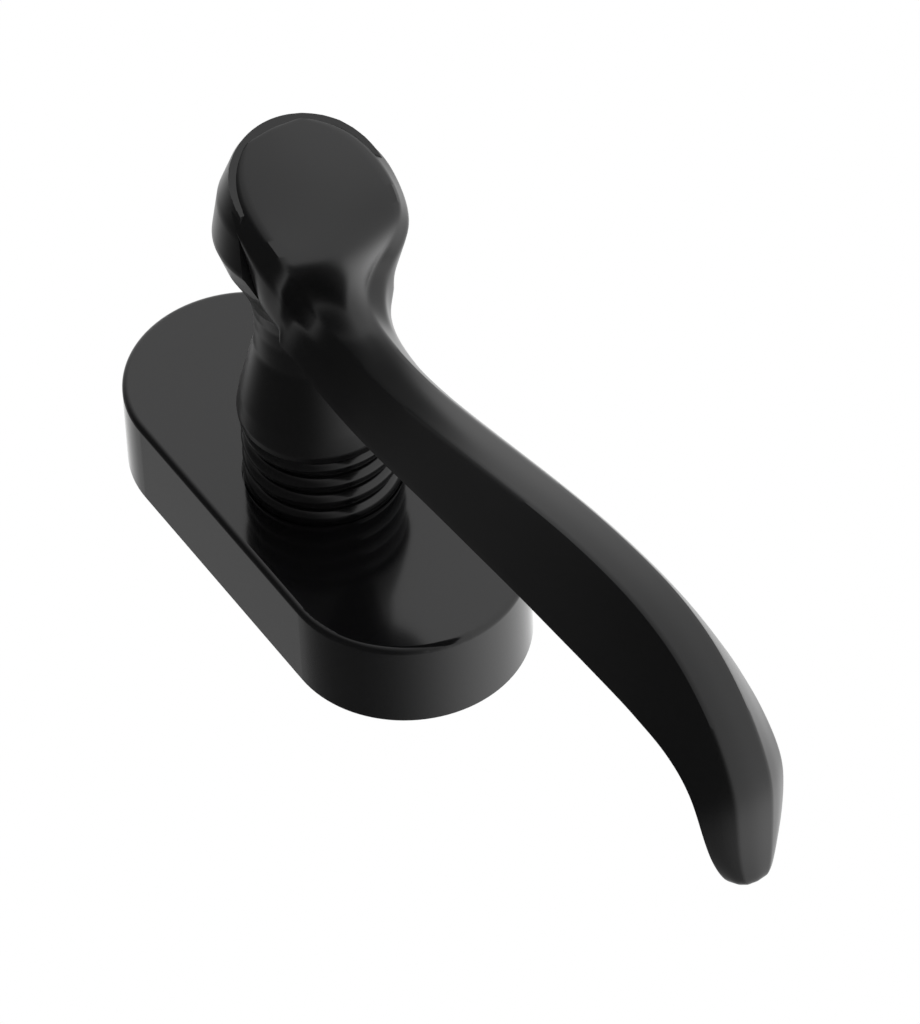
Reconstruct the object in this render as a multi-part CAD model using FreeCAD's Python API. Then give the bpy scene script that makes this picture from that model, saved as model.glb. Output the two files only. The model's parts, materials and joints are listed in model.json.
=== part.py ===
"""Tilt-and-turn window handle: one STEP file per piece, in millimetres.

Frame: the handle as it hangs on a closed sash. The origin is the centre of the rosette's
mounting face, on the spindle axis. +Z is up the sash, -Y comes out into the room, +Y goes
into the sash. Heights named "out" are measured from the mounting face into the room.
"""
import FreeCAD, Part
import math
import os

Vec = FreeCAD.Vector

# ------------------------------------------------------------------ driving dimensions (mm)
slip_gap = 0.02               # parts that sit still in each other
running_gap = 0.05            # radial, shank in bush
face_gap = 0.05               # between stacked faces
loose_gap = 0.3               # round parts that only pass through
over = 1.0                    # how far a cutting body runs past what it cuts

rosette_length = 68.4
rosette_width = 31.0
rosette_out = 12.7            # mounting face to the cover's top
cover_wall = 1.5
cover_edge_radius = 0.8
cover_gap = 0.3               # base and flange to cover, all round
cover_hole_gap = 0.25         # collar's ribs to the cover's hole

screw_spacing = 43.0          # across the two fixing screws
screw_hole_radius = 2.65      # clears an M5 screw
screw_seat_radius = 4.85      # countersunk seats for the screws' heads
screw_seat_depth = 2.5
boss_radius = 5.0             # locating bosses in the sash
boss_length = 8.0

plate_thickness = 4.5         # the base away from its tower
pad_margin = 1.75             # raised seats are this much wider than the screw heads
pad_out = 6.0
web_thickness = 2.0           # tower's top web, which the shank passes through

shank_radius = 7.0
flat_depth = 1.5              # flats on the shank, which drive the cam
journal_step = 0.8            # the shank's tail is this much thinner
clip_groove_depth = 0.5
clip_groove_width = 0.7
clip_thickness = 0.6
clip_stand = 1.4              # the circlip stands this far out of the tail
clip_mouth = 5.0
journal_end_out = 1.0
washer_thickness = 0.5

bush_wall = 0.6
collar_wall = 1.33
rib_radius = 1.25             # ribs are round rings, sunk in the core
rib_stand = 1.0
rib_pitch = 2.95
rib_count = 4
collar_show = 11.3            # cover's top to the lever's skirt
flange_thickness = 1.85

skirt_gap = 0.4               # collar to the inside of the lever's skirt
skirt_wall = 1.0
skirt_lap = 0.3               # the collar's top stands this far inside the skirt
waist_radius = 7.6
waist_rise = 13.5             # above the skirt's rim
head_radius = 11.6
head_rise = 30.5              # height above the skirt at which the head is widest
face_edge_radius = 0.8
grip_reach = 97.6             # spindle axis to the lever's tip

spindle_width = 7.0
spindle_gap = 0.05            # each side
spindle_reach = 25.0          # beyond the mounting face
spindle_above_skirt = 3.0
spindle_nose = 0.8
pin_radius = 1.25
pin_above_rosette = 4.3

cam_wall = 2.1                # cam's flats to the shank's flats
cam_corner_stand = 1.8        # cam's round corners stand this far past its flats
cam_thickness = 3.4
cam_swing_gap = 0.4
disc_spring_rim = 2.55        # the disc spring's width
disc_spring_height = 0.6
disc_spring_wall = 0.35

leaf_thickness = 0.5
leaf_end_wall = 0.57          # carrier left behind each leaf's ends
leaf_height = 2.8
carrier_wall = 1.68
retainer_thickness = 0.8
retainer_lap = 1.0            # the retaining plate overlaps the chamber's edge
small_screw_radius = 1.25
small_head_radius = 1.9
recess_reach = 1.05           # cross recess in the small screws' heads
recess_slot = 0.25
recess_depth_share = 0.7      # of the head's depth
tip_share = 0.6               # cone at a screw's end, as a share of its radius
small_screw_inset = 2.1       # chamber's edge to the small screws' axes
ear_radius = 2.3
tower_end_wall = 0.6

side_clip_length = 8.0
side_clip_height = 3.0
side_clip_depth = 0.4
side_clip_strip = 0.24        # thickness of the strip
clip_pocket_out = 0.6         # the pockets start this far out of the mounting face

# ------------------------------------------------------------------ places worked out from them
half_width = rosette_width / 2
base_half_width = half_width - cover_wall - cover_gap
base_length = rosette_length - 2 * (cover_wall + cover_gap)
flange_top = rosette_out - cover_wall - cover_gap
flange_under = flange_top - flange_thickness
tower_out = flange_under - face_gap
collar_bore = shank_radius + running_gap + bush_wall + slip_gap
collar_core_radius = collar_bore + collar_wall
rib_crest_radius = collar_core_radius + rib_stand
cover_hole_radius = rib_crest_radius + cover_hole_gap
skirt_out = rosette_out + collar_show
skirt_recess_radius = collar_core_radius + skirt_gap
skirt_radius = skirt_recess_radius + skirt_wall
collar_top_out = skirt_out + skirt_lap
recess_ceiling = collar_top_out + face_gap + washer_thickness + face_gap
spindle_in_lever = skirt_out + spindle_above_skirt
pin_out = rosette_out + pin_above_rosette
pin_half_length = shank_radius - loose_gap

web_under = tower_out - web_thickness
square_start = web_under - face_gap - washer_thickness - face_gap
cam_top = square_start - face_gap
cam_bottom = cam_top - cam_thickness
spring_top = cam_bottom - face_gap
groove_out = spring_top - disc_spring_height - face_gap
square_width = 2 * (shank_radius - flat_depth)
cam_width = square_width + 2 * cam_wall
cam_corner_radius = cam_width / 2 + cam_corner_stand
journal_radius = shank_radius - journal_step
clip_groove_radius = journal_radius - clip_groove_depth
clip_radius = journal_radius + clip_stand

carrier_inner_radius = cam_corner_radius + cam_swing_gap
carrier_radius = carrier_inner_radius + carrier_wall
chamber_radius = carrier_radius + slip_gap
thrust_washer_radius = carrier_inner_radius - cam_swing_gap / 2
leaf_inner = cam_width / 2 + 2 * face_gap
leaf_outer = leaf_inner + leaf_thickness
leaf_half_length = math.sqrt((carrier_radius - leaf_end_wall) ** 2 - leaf_outer ** 2)
retainer_radius = chamber_radius + retainer_lap
small_screw_offset = chamber_radius + small_screw_inset
tower_half_length = small_screw_offset + ear_radius + tower_end_wall

screw_places = (screw_spacing / 2, -screw_spacing / 2)
ear_places = (small_screw_offset, -small_screw_offset)
clip_offset = base_length / 2 - base_half_width - side_clip_length / 2
clip_places = (clip_offset, -clip_offset)


# ------------------------------------------------------------------ small helpers
def at(x, out, z):
    """Point at a height out of the mounting face."""
    return Vec(x, -out, z)


def disc(radius, low, high, x=0.0, z=0.0):
    """Cylinder about a line parallel to the spindle, from height low to height high."""
    return Part.makeCylinder(radius, high - low, at(x, low, z), Vec(0, -1, 0))


def ring(inner, outer, low, high):
    return disc(outer, low, high).cut(disc(inner, low - over, high + over))


def block(half_x, half_z, low, high, x=0.0, z=0.0):
    """Box between two heights, centred on (x, z)."""
    corner = at(x - half_x, high, z - half_z)
    return Part.makeBox(2 * half_x, high - low, 2 * half_z, corner)


def stadium(half_w, length, low, high):
    """Rounded-end block lying along Z."""
    straight = length / 2 - half_w
    body = block(half_w, straight, low, high)
    body = body.fuse(disc(half_w, low, high, z=straight))
    body = body.fuse(disc(half_w, low, high, z=-straight))
    return body.removeSplitter()


def turned(points):
    """Solid turned about the spindle axis from (radius, out) corners."""
    corners = [at(radius, out, 0) for radius, out in points]
    wire = Part.makePolygon(corners + corners[:1])
    return Part.Face(wire).revolve(Vec(0, 0, 0), Vec(0, 1, 0), 360)


def edges_at(shape, out):
    """Edges that lie wholly at one height."""
    near = 1e-6
    return [edge for edge in shape.Edges
            if all(abs(vertex.Y + out) < near for vertex in edge.Vertexes)]


def save(name, *solids):
    """Write one node; several identical pieces go in one file as separate solids."""
    shape = solids[0] if len(solids) == 1 else Part.makeCompound(list(solids))
    shape.exportStep(os.path.join("parts", name + ".step"))
    print(name, len(shape.Solids), "valid" if shape.isValid() else "NOT VALID", round(shape.Volume, 1))


# ------------------------------------------------------------------ pieces fixed to the sash
def base_plate():
    """Die-cast plate: tower with the detent chamber, screw seats, and bosses into the sash."""
    envelope = stadium(base_half_width, base_length, 0, tower_out)
    raised = block(base_half_width, tower_half_length, 0, tower_out)
    for z in screw_places:
        raised = raised.fuse(disc(screw_seat_radius + pad_margin, 0, pad_out, z=z))
    body = stadium(base_half_width, base_length, 0, plate_thickness).fuse(raised.common(envelope))
    for z in screw_places:
        body = body.fuse(disc(boss_radius, -boss_length, plate_thickness / 2, z=z))
    for z in screw_places:
        body = body.cut(screw_room(z))
    body = body.cut(disc(chamber_radius, -over, web_under))
    body = body.cut(disc(shank_radius + loose_gap, 0, tower_out + over))
    body = body.cut(retainer_outline(face_gap, -over, retainer_thickness + face_gap))
    for z in ear_places:
        body = body.cut(disc(small_screw_radius + face_gap, -over, tower_out + over, z=z))
    for x in (base_half_width, -base_half_width):
        for z in clip_places:
            body = body.cut(clip_pocket(x, z))
    return body.removeSplitter()


def screw_room(z):
    """Hole for a fixing screw: way in for the head, its seat, and the hole through the boss."""
    room = disc(screw_seat_radius, pad_out, tower_out + over, z=z)
    seat = Part.makeCone(screw_seat_radius, screw_hole_radius, screw_seat_depth, at(0, pad_out, z), Vec(0, 1, 0))
    return room.fuse(seat).fuse(disc(screw_hole_radius, -boss_length - over, pad_out, z=z))


def clip_pocket(x, z):
    top = clip_pocket_out + side_clip_height + 2 * face_gap
    return block(side_clip_depth + face_gap, side_clip_length / 2 + face_gap, clip_pocket_out, top, x=x, z=z)


def retainer_outline(gap, low, high):
    """Round plate with an ear at each small screw, grown by a gap for its recess."""
    body = disc(retainer_radius + gap, low, high)
    for z in ear_places:
        ear = disc(ear_radius + gap, low, high, z=z)
        neck = block(ear_radius + gap, abs(z) / 2, low, high, z=z / 2)
        body = body.fuse(ear).fuse(neck)
    return body.removeSplitter()


def retaining_plate():
    """Steel plate over the back of the detent chamber."""
    body = retainer_outline(0, 0, retainer_thickness)
    body = body.cut(disc(journal_radius, -over, retainer_thickness + over))
    for z in ear_places:
        head = Part.makeCone(
            small_head_radius + face_gap, small_screw_radius + face_gap,
            retainer_thickness, at(0, 0, z), Vec(0, -1, 0))
        body = body.cut(head)
    return body


def plate_screw(z):
    """From the back: through the plate and the base, into the collar's flange."""
    thread = flange_top - face_gap - small_screw_radius
    tip = small_screw_radius * tip_share
    body = Part.makeCone(small_head_radius, small_screw_radius, retainer_thickness, at(0, 0, z), Vec(0, -1, 0))
    body = body.fuse(disc(small_screw_radius, 0, thread, z=z))
    body = body.fuse(Part.makeCone(small_screw_radius, tip, tip, at(0, thread, z), Vec(0, -1, 0)))
    depth = retainer_thickness * recess_depth_share
    for half_x, half_z in ((recess_reach, recess_slot), (recess_slot, recess_reach)):
        body = body.cut(block(half_x, half_z, -over, depth, z=z))
    return body.removeSplitter()


def ribbed_collar():
    """Guide collar: flange under the cover, ribbed tube through it, bore for the bush."""
    body = disc(retainer_radius, flange_under, flange_top)
    for z in ear_places:
        body = body.fuse(disc(ear_radius, flange_under, flange_top, z=z))
        body = body.fuse(block(ear_radius, abs(z) / 2, flange_under, flange_top, z=z / 2))
    body = body.fuse(disc(collar_core_radius, flange_under, collar_top_out))
    body = body.fuse(disc(rib_crest_radius, flange_top, rosette_out + face_gap))
    first_rib = rosette_out + face_gap + rib_radius / 2
    for index in range(rib_count):
        centre = at(0, first_rib + index * rib_pitch, 0)
        body = body.fuse(Part.makeTorus(rib_crest_radius - rib_radius, rib_radius, centre, Vec(0, 1, 0)))
    body = body.cut(disc(collar_bore, 0, collar_top_out + over))
    for z in ear_places:
        body = body.cut(disc(small_screw_radius + slip_gap, 0, flange_top + over, z=z))
    return body.removeSplitter()


def bearing_bush():
    return ring(shank_radius + running_gap, collar_bore - slip_gap, flange_under, collar_top_out)


def leaf_slots(gap):
    """Room that the two leaf springs need, grown by a gap."""
    middle = (leaf_inner + leaf_outer) / 2
    half_x = leaf_thickness / 2 + gap
    low = cam_top - leaf_height - gap
    slots = block(half_x, leaf_half_length + gap, low, cam_top + over, x=middle)
    return slots.fuse(block(half_x, leaf_half_length + gap, low, cam_top + over, x=-middle))


def spring_carrier():
    """Moulded ring that holds the ends of the leaf springs."""
    body = ring(carrier_inner_radius, carrier_radius, cam_bottom, cam_top)
    return body.cut(leaf_slots(slip_gap)).removeSplitter()


def detent_spring(side):
    """Leaf of spring steel that lies on a flat of the cam."""
    middle = side * (leaf_inner + leaf_outer) / 2
    return block(leaf_thickness / 2, leaf_half_length, cam_top - leaf_height, cam_top, x=middle)


def cover_clip(side, place):
    """One bowed strip: its ends lie in the base's pocket, its middle stands out to the cover."""
    low = clip_pocket_out + face_gap
    ends_x = side * (base_half_width - side_clip_depth)
    crest_x = side * (base_half_width + cover_gap - face_gap)
    strip = side * side_clip_strip
    half = side_clip_length / 2

    def corner(x, along):
        return at(x, low, place + along)

    inner = Part.Arc(corner(ends_x, -half), corner(crest_x - strip, 0), corner(ends_x, half))
    outer = Part.Arc(corner(ends_x + strip, half), corner(crest_x, 0), corner(ends_x + strip, -half))
    edges = [inner.toShape(), Part.makeLine(corner(ends_x, half), corner(ends_x + strip, half)),
             outer.toShape(), Part.makeLine(corner(ends_x + strip, -half), corner(ends_x, -half))]
    return Part.Face(Part.Wire(edges)).extrude(Vec(0, -side_clip_height, 0))


# ------------------------------------------------------------------ the cover
def rosette_cover():
    """Pressed shell with a crisp top edge and a hole round the collar."""
    outer = stadium(half_width, rosette_length, 0, rosette_out)
    outer = outer.makeFillet(min(cover_edge_radius, cover_wall / 2 + cover_gap), edges_at(outer, rosette_out))
    inner = stadium(half_width - cover_wall, rosette_length - 2 * cover_wall, -over, rosette_out - cover_wall)
    return outer.cut(inner).cut(disc(cover_hole_radius, 0, rosette_out + over))


# ------------------------------------------------------------------ the lever
# Sections along the grip, from inside the head to the tip. Each is placed by its front ridge:
# (share of the reach, rise above the skirt, direction, depth from ridge to widest line, width of
# ridge, widest). Direction is the slope of the ridge: 0 runs down the sash, -90 points into it.
grip_sections = [
    (0.0307, 27.0, -28.0, 12.0, 7.5, 14.4),
    (0.0881, 23.0, -20.0, 9.0, 6.0, 12.8),
    (0.1465, 21.6, 0.0, 7.4, 5.3, 12.2),
    (0.2510, 22.6, 11.0, 7.0, 5.0, 13.0),
    (0.3678, 25.5, 15.5, 7.4, 5.0, 14.0),
    (0.4846, 28.7, 14.0, 8.4, 5.0, 15.0),
    (0.6496, 32.5, 8.0, 10.0, 5.0, 15.6),
    (0.7961, 33.6, -6.0, 10.7, 5.2, 15.0),
    (0.9068, 29.7, -34.0, 8.9, 5.2, 14.2),
    (0.9764, 21.5, -72.0, 5.2, 5.2, 13.0),
    (0.9928, 14.5, -87.0, 3.2, 5.0, 12.2),
    (0.9928, 8.0, -86.0, 2.6, 4.6, 10.2),
    (0.9980, 4.2, -80.0, 2.4, 3.8, 7.4),
    (1.0, 2.2, -80.0, 2.0, 2.4, 4.6),
]
ridge_crown = 0.25            # the ridge's face is slightly round
back_crown = 1.9              # behind its widest line the grip is rounded
back_corner = 1.0
heel_depth = 0.8              # back corner's end, behind the widest line
knee_depth = 0.4              # back corner's middle
knee_inset = 0.25


def grip_section(share, rise, direction, depth, ridge_width, widest):
    """Closed outline across the grip: ridge, flared sides, rounded back."""
    slope = math.radians(direction)
    centre = at(0, skirt_out + rise, -share * grip_reach)
    outward = at(0, math.cos(slope), math.sin(slope))

    def point(x, behind):
        return centre + Vec(x, 0, 0) - outward * behind

    ridge_half = ridge_width / 2
    widest_half = widest / 2
    heel = widest_half - back_corner
    ridge = Part.Arc(point(-ridge_half, ridge_crown), point(0, 0), point(ridge_half, ridge_crown))
    edges = [ridge.toShape()]
    for side in (1, -1):
        shoulder = point(side * widest_half, depth - back_corner / 2)
        knee = point(side * (widest_half - knee_inset), depth + knee_depth)
        edges.append(Part.makeLine(point(side * ridge_half, ridge_crown), shoulder))
        edges.append(Part.Arc(shoulder, knee, point(side * heel, depth + heel_depth)).toShape())
    back = Part.Arc(point(-heel, depth + heel_depth), point(0, depth + back_crown), point(heel, depth + heel_depth))
    edges.append(back.toShape())
    return Part.Wire(Part.__sortEdges__(edges))


def grip():
    return Part.makeLoft([grip_section(*section) for section in grip_sections], True, False)


# The front's line in the handle's middle plane, from above the head to the grip: (z, rise above the skirt).
front_line = [(18.0, 43.6), (6.0, 42.0), (0.0, 40.6), (-5.5, 38.2), (-8.7, 34.0), (-8.9, 28.0), (-9.9, 24.0),
              (-13.0, 22.1), (-16.0, 21.9)]
head_span = 2 * head_radius   # wider than the head, for cutting it


def head_and_neck():
    """Skirt, waist and head turned about the spindle axis."""
    outline = [
        (skirt_radius, 1.2),
        (waist_radius + 1.15, 7.8),
        (waist_radius, waist_rise),
        (waist_radius + 1.9, 20.3),
        (head_radius - 0.4, 26.0),
        (head_radius, head_rise),
        (head_radius - 0.9, 36.5),
        (head_radius - 2.7, 40.9),
        (head_radius - 4.2, 44.0),
    ]
    curve = Part.BSplineCurve()
    curve.interpolate([at(radius, skirt_out + rise, 0) for radius, rise in outline])
    foot = at(0, skirt_out, 0)
    rim = at(skirt_radius, skirt_out, 0)
    crown = at(0, skirt_out + outline[-1][1], 0)
    edges = [Part.makeLine(foot, rim), Part.makeLine(rim, curve.StartPoint), curve.toShape(),
             Part.makeLine(curve.EndPoint, crown), Part.makeLine(crown, foot)]
    return Part.Face(Part.Wire(edges)).revolve(Vec(0, 0, 0), Vec(0, 1, 0), 360)


def behind_front():
    """Everything behind the head's front: the leaning face, its shoulder, and the hollow to the grip."""
    curve = Part.BSplineCurve()
    curve.interpolate([at(-head_span, skirt_out + rise, z) for z, rise in front_line])
    back = [at(-head_span, 0, front_line[-1][0]), at(-head_span, 0, front_line[0][0])]
    edges = [curve.toShape(), Part.makeLine(curve.EndPoint, back[0]), Part.makeLine(back[0], back[1]),
             Part.makeLine(back[1], curve.StartPoint)]
    return Part.Face(Part.Wire(edges)).extrude(Vec(2 * head_span, 0, 0))


def softened(head):
    """Round the edge between the head's turned side and its front."""
    waist_out = skirt_out + waist_rise
    rim = [edge for edge in head.Edges
           if edge.BoundBox.YMax < -waist_out and edge.BoundBox.XLength > head_radius / 2]
    return head.makeFillet(face_edge_radius, rim)


def lever():
    """Head, neck, grip and shank in one casting, bored square for the spindle."""
    head = softened(head_and_neck().common(behind_front()))
    body = head.fuse(grip()).fuse(shank())
    body = body.cut(ring(shank_radius, skirt_recess_radius, skirt_out - over, recess_ceiling))
    half_bore = spindle_width / 2 + spindle_gap
    body = body.cut(block(half_bore, half_bore, 0, spindle_in_lever + face_gap))
    return body.cut(cross_hole()).removeSplitter()


def shank():
    """Round shank, then flats for the cam, then the grooved tail."""
    body = disc(shank_radius, square_start, recess_ceiling + over)
    square = block(square_width / 2, square_width / 2, spring_top, square_start)
    body = body.fuse(square.common(disc(shank_radius, spring_top, square_start)))
    body = body.fuse(disc(journal_radius - face_gap, journal_end_out, spring_top))
    groove = ring(clip_groove_radius, shank_radius, groove_out - clip_groove_width, groove_out)
    return body.cut(groove)


def cross_hole():
    return Part.makeCylinder(pin_radius + slip_gap, 2 * shank_radius, at(-shank_radius, pin_out, 0), Vec(1, 0, 0))


def spindle():
    """Square bar with bevelled nose, drilled for its pin."""
    half = spindle_width / 2
    body = block(half, half, -spindle_reach, spindle_in_lever)
    body = body.makeChamfer(spindle_nose, edges_at(body, -spindle_reach))
    return body.cut(cross_hole())


def spindle_pin():
    return Part.makeCylinder(pin_radius, 2 * pin_half_length, at(-pin_half_length, pin_out, 0), Vec(1, 0, 0))


def glide_washer():
    low = collar_top_out + face_gap
    return ring(shank_radius + running_gap, skirt_recess_radius - loose_gap, low, low + washer_thickness)


def thrust_washer():
    low = square_start + face_gap
    return ring(shank_radius + running_gap, thrust_washer_radius, low, low + washer_thickness)


def detent_cam():
    """Rounded square with the shank's flats inside."""
    outer = block(cam_width / 2, cam_width / 2, cam_bottom, cam_top)
    outer = outer.common(disc(cam_corner_radius, cam_bottom, cam_top))
    half_hole = square_width / 2 + slip_gap
    hole = block(half_hole, half_hole, cam_bottom - over, cam_top + over)
    hole = hole.common(disc(shank_radius + slip_gap, cam_bottom - over, cam_top + over))
    return outer.cut(hole)


def disc_spring():
    """Coned spring washer between the cam and the circlip."""
    low = spring_top - disc_spring_height
    inner = journal_radius + face_gap
    return turned([
        (inner, low),
        (inner, low + disc_spring_wall),
        (inner + disc_spring_rim, spring_top),
        (inner + disc_spring_rim, spring_top - disc_spring_wall),
    ])


def circlip():
    high = groove_out - face_gap
    body = ring(clip_groove_radius + slip_gap, clip_radius, high - clip_thickness, high)
    return body.cut(block(clip_radius, clip_mouth / 2, 0, high + over, x=clip_radius))


os.makedirs("parts", exist_ok=True)
save("base_plate", base_plate())
save("retaining_plate", retaining_plate())
save("plate_screws", *[plate_screw(z) for z in ear_places])
save("ribbed_collar", ribbed_collar())
save("bearing_bush", bearing_bush())
save("spring_carrier", spring_carrier())
save("detent_spring_left", detent_spring(-1))
save("detent_spring_right", detent_spring(1))
save("cover_clips", *[cover_clip(side, z) for side in (1, -1) for z in clip_places])
save("rosette_cover", rosette_cover())
save("lever", lever())
save("spindle", spindle())
save("spindle_pin", spindle_pin())
save("glide_washer", glide_washer())
save("thrust_washer", thrust_washer())
save("detent_cam", detent_cam())
save("disc_spring", disc_spring())
save("circlip", circlip())
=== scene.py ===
# %% [markdown]
# # A tilt-and-turn window handle
# The handle hangs on a window sash: a rosette against the sash, a ribbed guide collar through it,
# and a curved lever that turns on a square spindle. The working parts come ready made from CAD.
# This lesson gives them their finishes and models the lever's flowing shape with edit-mode operators.
# Everything is in metres. +Z is up the sash and -Y comes out into the room.

# %% Load the frame
import bpy
import bmesh
import json
import math
from mathutils import Matrix, Vector

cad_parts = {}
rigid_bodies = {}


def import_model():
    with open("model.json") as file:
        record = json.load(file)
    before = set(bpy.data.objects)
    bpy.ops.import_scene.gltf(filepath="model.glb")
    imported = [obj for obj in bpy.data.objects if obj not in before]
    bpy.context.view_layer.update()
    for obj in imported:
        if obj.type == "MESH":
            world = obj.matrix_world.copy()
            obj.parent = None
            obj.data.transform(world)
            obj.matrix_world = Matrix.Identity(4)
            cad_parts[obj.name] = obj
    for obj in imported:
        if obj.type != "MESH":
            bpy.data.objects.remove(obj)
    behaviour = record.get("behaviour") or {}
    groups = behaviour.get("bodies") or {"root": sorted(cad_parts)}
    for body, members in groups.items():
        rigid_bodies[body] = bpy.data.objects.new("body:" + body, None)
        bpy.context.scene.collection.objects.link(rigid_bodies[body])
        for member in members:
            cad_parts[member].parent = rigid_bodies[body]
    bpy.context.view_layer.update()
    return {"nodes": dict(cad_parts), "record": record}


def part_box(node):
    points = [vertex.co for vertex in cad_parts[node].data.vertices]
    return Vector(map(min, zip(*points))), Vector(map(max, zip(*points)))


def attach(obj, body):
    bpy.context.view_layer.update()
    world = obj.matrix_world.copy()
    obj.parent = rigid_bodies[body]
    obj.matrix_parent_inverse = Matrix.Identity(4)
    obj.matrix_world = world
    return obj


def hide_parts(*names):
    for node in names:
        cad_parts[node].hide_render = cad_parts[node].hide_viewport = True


for thing in list(bpy.data.objects):
    bpy.data.objects.remove(thing)
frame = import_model()
nodes = frame["nodes"]
MM = 0.001

# %% [markdown]
# ## Colours and nodes
# A colour picker gives sRGB hex values, but the shader wants linear light, so one function turns
# one into the other. One more small function adds a shader node, sets it and wires it, which keeps
# each material short enough to read as a recipe.

# %% Helpers for materials
def linear(hex_colour):
    """Linear RGBA from an sRGB hex colour such as #101214."""
    shares = [int(hex_colour[i:i + 2], 16) / 255 for i in (1, 3, 5)]
    light = [s / 12.92 if s <= 0.04045 else ((s + 0.055) / 1.055) ** 2.4 for s in shares]
    return (*light, 1.0)


def node(tree, kind, settings=(), values=(), **links):
    """Add a shader node: settings are its properties, values its inputs, links its wired inputs."""
    made = tree.nodes.new(kind)
    for name, value in dict(settings).items():
        setattr(made, name, value)
    for name, value in dict(values).items():
        made.inputs[name].default_value = value
    for name, socket in links.items():
        tree.links.new(made.inputs[name.replace("_", " ")], socket)
    return made


def finish(name, **values):
    """A new material with its shader's fixed numbers, ready for patterns."""
    material = bpy.data.materials.new(name)
    material.use_nodes = True
    shader = material.node_tree.nodes["Principled BSDF"]
    for key, value in values.items():
        shader.inputs[key.replace("_", " ")].default_value = value
    return material, material.node_tree, shader


def per_metre(size_mm):
    """Noise scale whose cells are about this many millimetres across."""
    return 1 / (size_mm * MM)


# %% [markdown]
# ## Gloss black stove enamel
# The lever and the cover are zinc castings with a thick black stoving enamel. It is a dielectric
# film, so its gloss is white and weak when seen straight on. Sprayed enamel is never a perfect
# mirror: it has a faint orange peel a few millimetres across, and handling leaves slightly duller
# patches. Both come from noise, one through a bump and one through the roughness. The function
# takes the two ends of the roughness, because the lever is given a duller enamel than the rosette.
# That is a choice for this scene: it softens what the head and the grip mirror of each other.

# %% Gloss black enamel
PATCH_MM = 18
ORANGE_PEEL_MM = 3.5


def stoved_enamel(name, smoothest, dullest):
    """Black enamel whose roughness lies between two ends."""
    material, tree, shader = finish(name, IOR=1.5)
    place = node(tree, "ShaderNodeTexCoord").outputs["Object"]
    patches = node(tree, "ShaderNodeTexNoise", values={"Scale": per_metre(PATCH_MM), "Detail": 2.0},
                   Vector=place)
    tint = node(tree, "ShaderNodeValToRGB", Fac=patches.outputs["Fac"])
    tint.color_ramp.elements[0].color = linear("#0b0b0c")
    tint.color_ramp.elements[1].color = linear("#121213")
    tree.links.new(shader.inputs["Base Color"], tint.outputs["Color"])
    dull = node(tree, "ShaderNodeMapRange", values={"To Min": smoothest, "To Max": dullest},
                Value=patches.outputs["Fac"])
    tree.links.new(shader.inputs["Roughness"], dull.outputs["Result"])
    peel = node(tree, "ShaderNodeTexNoise", values={"Scale": per_metre(ORANGE_PEEL_MM), "Detail": 1.0},
                Vector=place)
    bump = node(tree, "ShaderNodeBump", values={"Strength": 0.05, "Distance": 0.05 * MM},
                Height=peel.outputs["Fac"])
    tree.links.new(shader.inputs["Normal"], bump.outputs["Normal"])
    return material


# %% [markdown]
# ## Black acetal
# The collar is moulded in black acetal. The plastic is a touch softer in its gloss than enamel and
# carries the fine texture of the mould.

# %% Black acetal
MOULD_GRAIN_MM = 0.6


def black_acetal():
    """Moulded plastic with a fine grain."""
    material, tree, shader = finish("moulded_black_acetal", IOR=1.48)
    place = node(tree, "ShaderNodeTexCoord").outputs["Object"]
    grain = node(tree, "ShaderNodeTexNoise", values={"Scale": per_metre(MOULD_GRAIN_MM), "Detail": 3.0},
                 Vector=place)
    tint = node(tree, "ShaderNodeValToRGB", Fac=grain.outputs["Fac"])
    tint.color_ramp.elements[0].color = linear("#09090a")
    tint.color_ramp.elements[1].color = linear("#0f0f10")
    tree.links.new(shader.inputs["Base Color"], tint.outputs["Color"])
    dull = node(tree, "ShaderNodeMapRange", values={"To Min": 0.14, "To Max": 0.2},
                Value=grain.outputs["Fac"])
    tree.links.new(shader.inputs["Roughness"], dull.outputs["Result"])
    bump = node(tree, "ShaderNodeBump", values={"Strength": 0.04, "Distance": 0.02 * MM},
                Height=grain.outputs["Fac"])
    tree.links.new(shader.inputs["Normal"], bump.outputs["Normal"])
    return material


# %% [markdown]
# ## White acetal
# The bush, the glide washer and the spring carrier are natural acetal: milky, waxy, slightly
# see-through at thin edges.

# %% White acetal
CLOUD_MM = 4


def white_acetal():
    """Milky plastic with a broad cloud."""
    material, tree, shader = finish("natural_acetal", IOR=1.48, Subsurface_Weight=0.15,
                                    Subsurface_Scale=0.6 * MM)
    place = node(tree, "ShaderNodeTexCoord").outputs["Object"]
    cloud = node(tree, "ShaderNodeTexNoise", values={"Scale": per_metre(CLOUD_MM), "Detail": 2.0},
                 Vector=place)
    tint = node(tree, "ShaderNodeValToRGB", Fac=cloud.outputs["Fac"])
    tint.color_ramp.elements[0].color = linear("#dedcd3")
    tint.color_ramp.elements[1].color = linear("#eceae2")
    tree.links.new(shader.inputs["Base Color"], tint.outputs["Color"])
    dull = node(tree, "ShaderNodeMapRange", values={"To Min": 0.3, "To Max": 0.42},
                Value=cloud.outputs["Fac"])
    tree.links.new(shader.inputs["Roughness"], dull.outputs["Result"])
    return material


# %% [markdown]
# ## Three bare metals
# The base and the cam are raw die-cast zinc, grainy and grey. The small screws, the spindle, the
# retaining plate and the thrust washer are bright zinc plate, with a faint bluish cloud. Springs,
# clips and the cross pin are blued spring steel. All three are the same recipe with other colours,
# grain sizes and roughness, so one function makes them.

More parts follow.
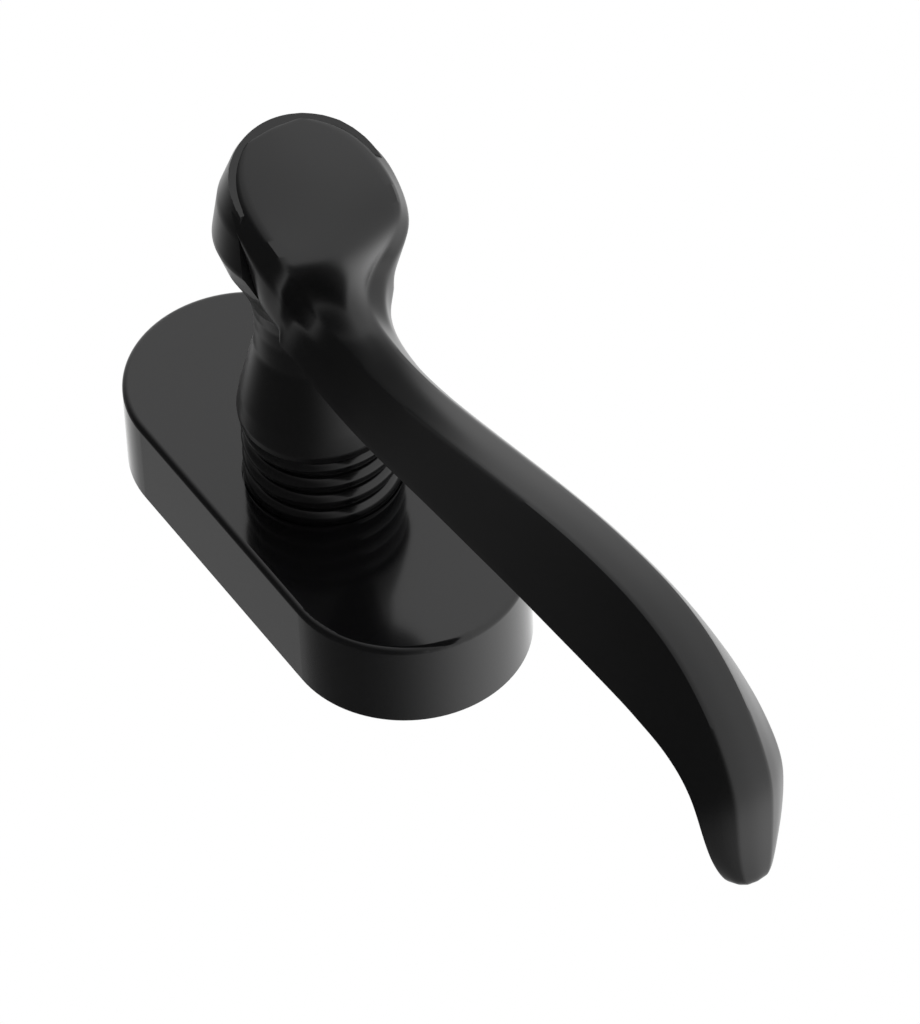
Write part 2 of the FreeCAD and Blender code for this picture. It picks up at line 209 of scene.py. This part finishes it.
# %% Bare metals
def bare_metal(name, dark, light, grain_mm, roughest, smoothest, relief_mm):
    """Metal whose colour, roughness and relief follow one grain."""
    material, tree, shader = finish(name, Metallic=1.0)
    place = node(tree, "ShaderNodeTexCoord").outputs["Object"]
    grain = node(tree, "ShaderNodeTexNoise", values={"Scale": per_metre(grain_mm), "Detail": 4.0},
                 Vector=place)
    tint = node(tree, "ShaderNodeValToRGB", Fac=grain.outputs["Fac"])
    tint.color_ramp.elements[0].color = linear(dark)
    tint.color_ramp.elements[1].color = linear(light)
    tree.links.new(shader.inputs["Base Color"], tint.outputs["Color"])
    dull = node(tree, "ShaderNodeMapRange", values={"To Min": smoothest, "To Max": roughest},
                Value=grain.outputs["Fac"])
    tree.links.new(shader.inputs["Roughness"], dull.outputs["Result"])
    bump = node(tree, "ShaderNodeBump", values={"Strength": 0.3, "Distance": relief_mm * MM},
                Height=grain.outputs["Fac"])
    tree.links.new(shader.inputs["Normal"], bump.outputs["Normal"])
    return material


# %% [markdown]
# ## Give every CAD piece its finish
# The record says which finish each piece has, so the pieces are dressed in one loop.

# %% Dress the CAD pieces
finishes = {
    "gloss_black_lacquer": stoved_enamel("black_stoved_enamel", 0.09, 0.13),
    "black_collar": black_acetal(),
    "white_acetal": white_acetal(),
    "zinc_casting": bare_metal("die_cast_zinc", "#8b8f93", "#a9adb0", 0.9, 0.55, 0.4, 0.03),
    "zinc_plated_steel": bare_metal("zinc_plated_steel", "#b6bbc2", "#cdd1d6", 5.0, 0.34, 0.22, 0.01),
    "spring_steel": bare_metal("blued_spring_steel", "#3c4148", "#5a6068", 2.0, 0.4, 0.28, 0.01),
}
lever_enamel = stoved_enamel("black_stoved_enamel_on_lever", 0.27, 0.33)
for subpart in frame["record"]["subparts"]:
    mesh = nodes[subpart["node"]].data
    mesh.materials.clear()
    mesh.materials.append(finishes[subpart["material_slot"]])


# %% [markdown]
# ## Working by hand with operators
# An operator acts on all that is selected, so a few helpers select exactly what is wanted.

# %% Selection helpers
def start_shape(name, adder, **settings):
    """Add a primitive, name it, bake its place into its mesh and go into edit mode."""
    bpy.ops.object.select_all(action="DESELECT")
    adder(**settings)
    shape = bpy.context.object
    shape.name = name
    shape.data.name = name
    bpy.ops.object.transform_apply(location=True, rotation=True, scale=True)
    bpy.ops.object.mode_set(mode="EDIT")
    bpy.context.tool_settings.mesh_select_mode = (True, False, False)
    return shape


def edit_mesh():
    """Editable mesh of the object in edit mode."""
    return bmesh.from_edit_mesh(bpy.context.edit_object.data)


def pick(test):
    """Select exactly the vertices that pass a test."""
    mesh = edit_mesh()
    for part in (mesh.faces, mesh.edges, mesh.verts):
        for element in part:
            element.select = False
    for vertex in mesh.verts:
        if test(vertex):
            vertex.select = True
    mesh.select_flush_mode()
    bmesh.update_edit_mesh(bpy.context.edit_object.data)


def drag(vertex_index, place):
    """Move one vertex to a place."""
    mesh = edit_mesh()
    mesh.verts.ensure_lookup_table()
    step = place - mesh.verts[vertex_index].co
    pick(lambda vertex: vertex.index == vertex_index)
    bpy.ops.transform.translate(value=step)


# %% [markdown]
# ## The lever: neck and head
# On the real handle the lever is one zinc casting: a round skirt over the collar, a waist, a bulb
# of a head with a leaning front, and a grip that flows down from that front and curls in at its
# tip. Two shapes make it. The first is turned: rings are extruded up from the skirt to the head,
# smoothed, and the head is then cut off by leaning planes.

# %% Sizes of the lever
lever_low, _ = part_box("lever")
collar_low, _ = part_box("ribbed_collar")
SKIRT_LAP = 0.3                # the collar's top stands this far inside the skirt
skirt_out = -collar_low.y / MM - SKIRT_LAP
grip_reach = -lever_low.z / MM
print("skirt", round(skirt_out, 2), "mm out, grip reach", round(grip_reach, 2), "mm")


def spot(x, z, rise):
    """Point from millimetres: across, up the sash, above the skirt."""
    return Vector((x, -(skirt_out + rise), z)) * MM


# %% Turn the neck and head
RING_POINTS = 24
# (radius, rise above the skirt): the skirt's hollow and rim, the waist, the bulb
ring_stack = [
    (6.9, 0.9), (9.4, 0.9), (9.4, 0.0), (10.35, 0.0), (10.4, 0.9), (9.9, 3.6), (8.8, 7.8),
    (7.7, 12.0), (7.5, 15.8), (7.6, 18.4), (8.0, 20.8), (8.9, 23.4), (10.6, 27.0), (11.8, 31.0),
    (10.9, 36.5), (9.2, 40.9), (7.0, 44.6), (4.0, 46.5),
]
SKIRT_CORNERS = (1, 2, 3)      # rows of the stack that stay crisp
SMOOTH_LEVELS = 3
CRISP_ANGLE = math.radians(32)


def turn_neck():
    """Extrude ring after ring, each at its own height and radius, and close both ends."""
    bpy.ops.mesh.select_mode(type="EDGE")
    bpy.ops.mesh.edge_face_add()
    for row in range(1, len(ring_stack)):
        radius, rise = ring_stack[row]
        last_radius, last_rise = ring_stack[row - 1]
        bpy.ops.mesh.extrude_edges_move(TRANSFORM_OT_translate={"value": (0, (last_rise - rise) * MM, 0)})
        bpy.ops.transform.resize(value=(radius / last_radius, 1, radius / last_radius))
        if row in SKIRT_CORNERS:
            bpy.ops.transform.edge_crease(value=0.9)
    bpy.ops.mesh.fill_grid(span=RING_POINTS // 4)
    bpy.ops.mesh.select_all(action="SELECT")
    bpy.ops.mesh.normals_make_consistent(inside=False)
    bpy.ops.object.mode_set(mode="OBJECT")


def apply_modifier(shape, kind, **settings):
    """Add a modifier, set it and apply it."""
    bpy.context.view_layer.objects.active = shape
    modifier = shape.modifiers.new(kind.lower(), kind)
    for name, value in settings.items():
        setattr(modifier, name, value)
    bpy.ops.object.modifier_apply(modifier=modifier.name)


lever = start_shape("lever_casting", bpy.ops.mesh.primitive_circle_add, vertices=RING_POINTS,
                    radius=ring_stack[0][0] * MM, location=spot(0, 0, ring_stack[0][1]),
                    rotation=(math.pi / 2, 0, 0))
turn_neck()
apply_modifier(lever, "SUBSURF", levels=SMOOTH_LEVELS, render_levels=SMOOTH_LEVELS)
print("neck and head:", len(lever.data.polygons), "faces")


# %% [markdown]
# Three leaning planes run a little behind the finished front, because the front itself comes with
# the second shape. Bisecting with the outer side cleared and the cut filled leaves a closed head.

# %% Cut the head
# (lean below the room in degrees, up the sash, rise above the skirt) of each cutting plane
head_cuts = [(18.3, 0.0, 39.3), (45.0, -6.3, 36.0), (75.6, -4.4, 26.0)]


def cut_head(lean, z, rise):
    """Cut away all that lies in front of one leaning plane."""
    bpy.ops.object.mode_set(mode="EDIT")
    bpy.ops.mesh.select_all(action="SELECT")
    facing = (0, -math.cos(math.radians(lean)), -math.sin(math.radians(lean)))
    bpy.ops.mesh.bisect(plane_co=spot(0, z, rise), plane_no=facing, use_fill=True, clear_outer=True)
    bpy.ops.object.mode_set(mode="OBJECT")


for lean, z, rise in head_cuts:
    cut_head(lean, z, rise)
print("head cut:", len(lever.data.polygons), "faces")


# %% [markdown]
# ## The lever: front and grip
# The second shape is a band that starts as the broad front of the head, rolls over and narrows to
# the grip's ridge, and runs on to the tip. It is extruded from station to station, downwards, as a
# closed loop of ten lines: the middle, the crisp edges beside it, a soft shoulder line on each
# flank, the widest lines, the heels and the back. Each vertex carries its line and its station as
# labels. Extruding copies them, so they say which line a new vertex belongs to. Inside the head the
# rear lines simply stay in the bulb.

# %% Stations on the head
MIDDLE, EDGE, SHOULDER, WIDEST, HEEL, BACK = range(6)
LOOP_LINES = 10
# one row per station, (across, up, rise) for the edge, shoulder and widest lines, and (up, rise)
# for the middle, from the top of the head to the root of the grip
head_stations = [
    ((7.9, 42.2), (1.9, 7.6, 42.1), (2.2, 7.9, 41.4), (1.5, 6.0, 34.0)),
    ((6.9, 42.15), (4.3, 6.6, 41.8), (4.9, 7.1, 41.0), (4.0, 5.0, 33.0)),
    ((4.0, 41.6), (7.1, 3.9, 41.0), (7.9, 4.4, 40.1), (6.5, 3.0, 32.0)),
    ((1.0, 40.95), (8.3, 1.1, 40.1), (10.0, 1.5, 38.9), (7.5, 1.0, 30.0)),
    ((-2.0, 39.9), (8.9, -1.9, 39.2), (10.9, -1.3, 37.4), (8.0, -1.0, 28.0)),
    ((-4.9, 38.4), (9.0, -4.7, 38.2), (10.8, -3.9, 35.9), (9.6, -1.2, 26.5)),
    ((-7.4, 36.4), (8.7, -7.2, 37.1), (10.5, -6.2, 34.2), (10.2, -2.4, 25.6)),
    ((-9.5, 34.0), (8.0, -8.6, 35.0), (9.7, -8.0, 32.4), (10.5, -3.4, 24.5)),
    ((-9.4, 31.3), (6.7, -8.1, 31.5), (8.7, -8.0, 29.6), (9.7, -4.6, 22.7)),
    ((-9.1, 28.6), (5.5, -7.2, 28.6), (7.8, -7.4, 27.2), (8.85, -5.3, 20.9)),
    ((-9.1, 26.3), (4.4, -6.8, 26.0), (6.9, -7.0, 25.2), (7.9, -5.9, 19.1)),
    ((-9.7, 24.5), (3.6, -7.1, 23.9), (6.0, -7.3, 22.9), (7.0, -6.6, 17.5)),
    ((-10.8, 23.2), (3.05, -8.4, 22.4), (5.3, -8.4, 20.7), (6.6, -7.8, 16.1)),
    ((-12.5, 22.2), (2.75, -10.8, 21.5), (4.8, -10.6, 19.0), (6.3, -10.2, 15.0)),
]
# heels and back, (across, up, rise) and (up, rise), only where they leave the head
root_heels = {10: ((5.0, -3.5, 17.0), (-3.5, 16.0)), 11: ((5.0, -5.0, 15.6), (-5.0, 14.8)),
              12: ((4.6, -7.2, 14.3), (-7.2, 13.6)), 13: ((4.4, -10.0, 13.3), (-10.0, 12.6))}
BURIED_HEEL, BURIED_BACK = (3.0, -3.0, 19.0), (-2.0, 18.0)


def head_places(number):
    """Place of each of the ten lines at a station on the head."""
    middle, edge, shoulder, widest = head_stations[number]
    heel, back = root_heels.get(number, (BURIED_HEEL, BURIED_BACK))
    places = {MIDDLE: spot(0, *middle), BACK: spot(0, *back)}
    for line, (x, z, rise) in ((EDGE, edge), (SHOULDER, shoulder), (WIDEST, widest), (HEEL, heel)):
        places[line] = spot(x, z, rise)
        places[-line] = spot(-x, z, rise)
    return places


# %% Stations on the grip
# (share of the reach, rise of the ridge, direction in degrees, depth to the widest line, ridge
# width, widest); direction 0 runs down the sash, -90 into it
grip_stations = [
    (0.165, 21.65, 2.0, 7.25, 5.2, 12.3),
    (0.205, 21.95, 7.0, 7.05, 5.1, 12.6),
    (0.2510, 22.6, 11.0, 7.0, 5.0, 13.0),
    (0.3100, 24.0, 14.5, 7.1, 4.95, 13.5),
    (0.3678, 25.5, 15.5, 7.4, 4.95, 14.0),
    (0.4846, 28.7, 14.0, 8.4, 5.0, 15.0),
    (0.5700, 30.9, 11.0, 9.2, 5.0, 15.4),
    (0.6496, 32.5, 8.0, 10.0, 5.0, 15.6),
    (0.7300, 33.5, 2.0, 10.5, 5.1, 15.4),
    (0.7961, 33.6, -6.0, 10.7, 5.2, 15.0),
    (0.8600, 32.3, -19.0, 10.0, 5.2, 14.6),
    (0.9068, 29.7, -34.0, 8.9, 5.2, 14.2),
    (0.9480, 25.9, -53.0, 7.0, 5.2, 13.6),
    (0.9764, 21.5, -72.0, 5.2, 5.2, 13.0),
    (0.9900, 18.0, -82.0, 4.0, 5.1, 12.7),
    (0.9928, 14.5, -87.0, 3.2, 5.0, 12.2),
    (0.9928, 8.0, -86.0, 2.6, 4.6, 10.2),
    (0.9950, 4.2, -80.0, 2.4, 3.8, 7.4),
    (0.9960, 2.4, -80.0, 2.0, 2.6, 4.8),
]
RIDGE_CROWN = 0.3
SHOULDER_SHARE = 0.42          # the shoulder line's place on the flank
SHOULDER_SWELL = 0.25          # the flank is slightly round there
HEEL_SHARE = 0.72              # half width of the heels, as a share of the widest
HEEL_BEHIND = 1.5
BACK_BEHIND = 2.1


def grip_places(number):
    """Place of each of the ten lines at a station on the grip."""
    share, rise, direction, depth, ridge_width, widest = grip_stations[number]
    slope = math.radians(direction)
    centre = spot(0, -share * grip_reach, rise)
    outward = Vector((0, -math.cos(slope), math.sin(slope)))
    edge, wide = ridge_width / 2, widest / 2
    across = {EDGE: edge, WIDEST: wide, HEEL: wide * HEEL_SHARE,
              SHOULDER: edge + (wide - edge) * SHOULDER_SHARE + SHOULDER_SWELL}
    behind = {EDGE: RIDGE_CROWN, WIDEST: depth, HEEL: depth + HEEL_BEHIND,
              SHOULDER: depth * SHOULDER_SHARE}
    places = {MIDDLE: centre, BACK: centre - outward * (depth + BACK_BEHIND) * MM}
    for line in (EDGE, SHOULDER, WIDEST, HEEL):
        for side in (1, -1):
            step = Vector((side * across[line], 0, 0)) - outward * behind[line]
            places[side * line] = centre + step * MM
    return places


# %% Extrude the band
def label_start():
    """Label the first loop's vertices by line, from their direction round the loop."""
    mesh = edit_mesh()
    mesh.verts.layers.int.new("line")
    mesh.verts.layers.int.new("station")
    lines = mesh.verts.layers.int["line"]
    centre = sum((v.co for v in mesh.verts), Vector()) / len(mesh.verts)
    for vertex in mesh.verts:
        turn = math.degrees(math.atan2(vertex.co.x - centre.x, centre.y - vertex.co.y))
        line = round(turn * LOOP_LINES / 360)
        vertex[lines] = BACK if abs(line) == BACK else line


def lay_loop(places, number):
    """Move the selected loop onto a station and label it."""
    mesh = edit_mesh()
    lines = mesh.verts.layers.int["line"]
    stations = mesh.verts.layers.int["station"]
    loop = {}
    for vertex in mesh.verts:
        if vertex.select:
            vertex[stations] = number
            loop[vertex[lines]] = vertex.index
    for line, vertex_index in loop.items():
        drag(vertex_index, places[line])
    held = set(loop.values())
    pick(lambda vertex: vertex.index in held)


def extrude_band():
    """Lay the loop on each station in turn; returns how many there are."""
    routes = [head_places(number) for number in range(len(head_stations))]
    routes += [grip_places(number) for number in range(len(grip_stations))]
    bpy.ops.mesh.select_all(action="SELECT")
    lay_loop(routes[0], 0)
    for number in range(1, len(routes)):
        bpy.ops.mesh.extrude_region_move(TRANSFORM_OT_translate={"value": (0, 0, -MM)})
        lay_loop(routes[number], number)
    return len(routes)


# where the loop starts does not matter, because it is laid on the first station at once
band = start_shape("band", bpy.ops.mesh.primitive_circle_add, vertices=LOOP_LINES, radius=2 * MM,
                   fill_type="NGON", location=spot(0, 8, 40))
label_start()
print("band of", extrude_band(), "stations")


# %% [markdown]
# ## Crisp lines
# A crease tells the subdivision surface how sharp to keep an edge. The edge lines are crisp from
# the head to the tip, the shoulder is crisp on the head and fades out on the grip, and the widest
# line is only slightly softened.

# %% Crease the lines
def crease_line(line, first, last, sharpness):
    """Crease one line of the band, and its mirror image, between two stations."""
    bpy.ops.mesh.select_mode(type="EDGE")
    bpy.ops.mesh.select_all(action="DESELECT")
    mesh = edit_mesh()
    lines = mesh.verts.layers.int["line"]
    stations = mesh.verts.layers.int["station"]
    for edge in mesh.edges:
        one, other = edge.verts
        along = one[lines] == other[lines] and abs(one[lines]) == line
        nearer, farther = sorted((one[stations], other[stations]))
        if along and first <= nearer and farther <= last:
            edge.select_set(True)
    bmesh.update_edit_mesh(bpy.context.edit_object.data)
    bpy.ops.transform.edge_crease(value=sharpness)
    creased = sum(edge.select for edge in edit_mesh().edges)
    print("line", line, "creased by", sharpness, "on", creased, "edges")


last_station = len(head_stations) + len(grip_stations) - 1
root_station = len(head_stations) - 1
shoulder_fades = root_station - 3
widest_emerges = root_station - 4
crease_line(EDGE, 0, last_station, 0.85)
crease_line(SHOULDER, 0, shoulder_fades, 0.75)
crease_line(SHOULDER, shoulder_fades, root_station, 0.4)
crease_line(WIDEST, widest_emerges, last_station, 0.7)
bpy.ops.mesh.select_all(action="SELECT")
bpy.ops.mesh.normals_make_consistent(inside=False)
bpy.ops.object.mode_set(mode="OBJECT")
apply_modifier(band, "SUBSURF", levels=SMOOTH_LEVELS, render_levels=SMOOTH_LEVELS)

# %% [markdown]
# ## One casting
# The two shapes are joined into one piece by a boolean union. Where the band's flank runs out of
# the bulb, the union leaves a line. The skin is not perfectly closed: a few tiny edges stay open or
# are shared by more than two faces, and the union may number its vertices differently each run.

# %% Join the two shapes
apply_modifier(lever, "BOOLEAN", operation="UNION", solver="EXACT", object=band)
bpy.data.objects.remove(band)
bpy.ops.object.select_all(action="DESELECT")
lever.select_set(True)
bpy.context.view_layer.objects.active = lever
bpy.ops.object.shade_smooth_by_angle(angle=CRISP_ANGLE)
lever.data.materials.append(lever_enamel)
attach(lever, "lever")
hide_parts("lever")
print("lever:", len(lever.data.polygons), "faces")


# %% [markdown]
# ## The shank
# Inside the collar the casting goes on as a round shank. It turns in the bush, carries the cam on
# two pairs of flats, and ends in a thinner grooved tail for the circlip. A square hole takes the
# spindle. It is turned by extruding rings, and the bore and the flats are blocks taken away.

# %% Shank
# radii and places out of the sash, in millimetres
SHANK_RADIUS = 7.0
FLAT = 5.5                     # from the axis to each flat
JOURNAL_RADIUS = 6.15
GROOVE_RADIUS = 5.7
CORNER = 0.35                  # chamfer at the tail's end
TAIL_OUT = 1.0
GROOVE_START, GROOVE_END = 1.55, 2.25
FLATS_START, FLATS_END = 2.9, 6.4
BORE_HALF = 3.55
BORE_SHORT = 2.0               # the bore ends this far below the skirt
INTO_CASTING = 3.0             # the shank runs this far into the lever
CLEAR = 9                      # past the shank's side
SHANK_POINTS = 48
# (radius, how far out of the sash), from the tail to the skirt
shank_rings = [
    (JOURNAL_RADIUS - CORNER, TAIL_OUT), (JOURNAL_RADIUS, TAIL_OUT + CORNER),
    (JOURNAL_RADIUS, GROOVE_START), (GROOVE_RADIUS, GROOVE_START), (GROOVE_RADIUS, GROOVE_END),
    (JOURNAL_RADIUS, GROOVE_END), (JOURNAL_RADIUS, FLATS_START), (SHANK_RADIUS, FLATS_START),
    (SHANK_RADIUS, FLATS_END), (SHANK_RADIUS, skirt_out + INTO_CASTING),
]
# (low corner, high corner) of the four blocks that leave the flats, (across, out, up)
flat_blocks = [
    ((FLAT, FLATS_START, -CLEAR), (CLEAR, FLATS_END, CLEAR)),
    ((-CLEAR, FLATS_START, -CLEAR), (-FLAT, FLATS_END, CLEAR)),
    ((-CLEAR, FLATS_START, FLAT), (CLEAR, FLATS_END, CLEAR)),
    ((-CLEAR, FLATS_START, -CLEAR), (CLEAR, FLATS_END, -FLAT)),
]


def turn_shank():
    """Extrude ring after ring from the tail, and close both ends."""
    bpy.ops.mesh.select_mode(type="EDGE")
    bpy.ops.mesh.edge_face_add()
    for (last_radius, last_out), (radius, out) in zip(shank_rings, shank_rings[1:]):
        bpy.ops.mesh.extrude_edges_move(TRANSFORM_OT_translate={"value": (0, (last_out - out) * MM, 0)})
        bpy.ops.transform.resize(value=(radius / last_radius, 1, radius / last_radius))
    bpy.ops.mesh.edge_face_add()
    bpy.ops.mesh.select_all(action="SELECT")
    bpy.ops.mesh.normals_make_consistent(inside=False)
    bpy.ops.object.mode_set(mode="OBJECT")


def take_away(shape, cutter):
    """Cut one shape out of another and delete the cutter."""
    apply_modifier(shape, "BOOLEAN", operation="DIFFERENCE", solver="EXACT", object=cutter)
    bpy.data.objects.remove(cutter)


def cutting_block(name, low, high):
    """Box between two points in millimetres, (across, out, up)."""
    middle = [(a + b) / 2 for a, b in zip(low, high)]
    lengths = [b - a for a, b in zip(low, high)]
    block = start_shape(name, bpy.ops.mesh.primitive_cube_add, size=MM,
                        location=Vector((middle[0], -middle[1], middle[2])) * MM)
    bpy.ops.mesh.select_all(action="SELECT")
    bpy.ops.transform.resize(value=lengths)
    bpy.ops.object.mode_set(mode="OBJECT")
    return block


shank = start_shape("lever_shank", bpy.ops.mesh.primitive_circle_add, vertices=SHANK_POINTS,
                    radius=shank_rings[0][0] * MM, location=(0, -TAIL_OUT * MM, 0),
                    rotation=(math.pi / 2, 0, 0))
turn_shank()
take_away(shank, cutting_block("bore", (-BORE_HALF, 0, -BORE_HALF),
                               (BORE_HALF, skirt_out - BORE_SHORT, BORE_HALF)))
for low, high in flat_blocks:
    take_away(shank, cutting_block("flat", low, high))
bpy.ops.object.select_all(action="DESELECT")
shank.select_set(True)
bpy.context.view_layer.objects.active = shank
bpy.ops.object.shade_smooth_by_angle(angle=CRISP_ANGLE)
shank.data.materials.append(lever_enamel)
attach(shank, "lever")
print("shank:", len(shank.data.polygons), "faces")


# %% [markdown]
# ## Stage, lights and camera
# Glossy black is drawn by what it mirrors. A white surround shows behind the handle, but for
# reflections it is a soft gradient, bright to the right and dark to the left, like a wide softbox
# beside a black flag. Three soft panels light the handle without showing in the gloss, and the
# floor does not show in it either. The floor is far below, because the handle is looked at from
# under it.

# %% Floor
FLOOR_Z = -2.0
FLOOR_SIZE = 14.0


def floor():
    """Pale paper plane that the gloss does not mirror."""
    bpy.ops.object.select_all(action="DESELECT")
    bpy.ops.mesh.primitive_plane_add(size=FLOOR_SIZE, location=(0, 0, FLOOR_Z))
    ground = bpy.context.object
    ground.name = "floor"
    material, tree, shader = finish("matt_white_paper", Roughness=0.9)
    place = node(tree, "ShaderNodeTexCoord").outputs["Object"]
    fibre = node(tree, "ShaderNodeTexNoise", values={"Scale": per_metre(2)}, Vector=place)
    tint = node(tree, "ShaderNodeValToRGB", Fac=fibre.outputs["Fac"])
    tint.color_ramp.elements[0].color = linear("#f2f2f0")
    tint.color_ramp.elements[1].color = linear("#fbfbfa")
    tree.links.new(shader.inputs["Base Color"], tint.outputs["Color"])
    ground.data.materials.append(material)
    ground.visible_glossy = False


floor()


# %% Surround
def surround(seen, dark, bright, dark_side, bright_side):
    """White behind the handle; for everything else a gradient from the left to the right."""
    world = bpy.data.worlds.new("studio")
    bpy.context.scene.world = world
    world.use_nodes = True
    tree = world.node_tree
    shade = tree.nodes["Background"]
    toward = node(tree, "ShaderNodeTexCoord").outputs["Generated"]
    parts = node(tree, "ShaderNodeSeparateXYZ", Vector=toward)
    span = {"From Min": dark_side, "From Max": bright_side, "To Min": dark, "To Max": bright}
    ramp = node(tree, "ShaderNodeMapRange", values=span, Value=parts.outputs["X"])
    ramp.interpolation_type = "SMOOTHSTEP"
    tree.links.new(shade.inputs["Strength"], ramp.outputs["Result"])
    shade.inputs["Color"].default_value = (1, 1, 1, 1)
    white = node(tree, "ShaderNodeBackground", values={"Color": (seen, seen, seen, 1)})
    rays = node(tree, "ShaderNodeLightPath")
    mix = node(tree, "ShaderNodeMixShader")
    tree.links.new(mix.inputs[0], rays.outputs["Is Camera Ray"])
    tree.links.new(mix.inputs[1], shade.outputs[0])
    tree.links.new(mix.inputs[2], white.outputs[0])
    tree.links.new(tree.nodes["World Output"].inputs[0], mix.outputs[0])


surround(seen=1.0, dark=0.08, bright=1.25, dark_side=-0.75, bright_side=0.55)


# %% Soft panels
def panel(name, direction, distance, width, height, radiance):
    """Rectangular soft light that faces the handle."""
    lamp = bpy.data.lights.new(name, "AREA")
    lamp.shape = "RECTANGLE"
    lamp.size = width
    lamp.size_y = height
    lamp.energy = radiance * math.pi * width * height
    holder = bpy.data.objects.new(name, lamp)
    bpy.context.scene.collection.objects.link(holder)
    toward = Vector(direction).normalized()
    holder.location = toward * distance
    holder.rotation_mode = "QUATERNION"
    holder.rotation_quaternion = toward.to_track_quat("Z", "Y")
    holder.visible_glossy = False


panel("front_panel", (0.45, -0.90, 0.05), 1.4, 0.9, 0.8, 1.6)
panel("top_panel", (0.35, -0.25, 0.88), 1.4, 1.2, 0.8, 1.7)
panel("back_fill", (-0.3, 0.9, 0.4), 1.6, 0.8, 0.6, 0.6)


# %% Camera
def camera(azimuth, elevation, roll, distance, focal, target):
    """Camera that looks at a point from an angle, rolled about its line of sight."""
    lens = bpy.data.cameras.new("camera")
    lens.lens = focal
    holder = bpy.data.objects.new("camera", lens)
    bpy.context.scene.collection.objects.link(holder)
    forward = Vector((-math.sin(azimuth) * math.cos(elevation), math.cos(azimuth) * math.cos(elevation),
                      -math.sin(elevation)))
    level_right = forward.cross(Vector((0, 0, 1))).normalized()
    level_up = level_right.cross(forward)
    up = level_up * math.cos(roll) - level_right * math.sin(roll)
    right = forward.cross(up)
    holder.matrix_world = Matrix((right, up, -forward)).transposed().to_4x4()
    holder.location = Vector(target) * MM - forward * distance
    bpy.context.scene.camera = holder
    return forward, right, up


print("camera:", camera(math.radians(-25.414), math.radians(-36.079), math.radians(-41.763),
                        1.08004, 316.4, (-1.261, -35.975, -34.85)))
bpy.context.scene.view_settings.view_transform = "Standard"
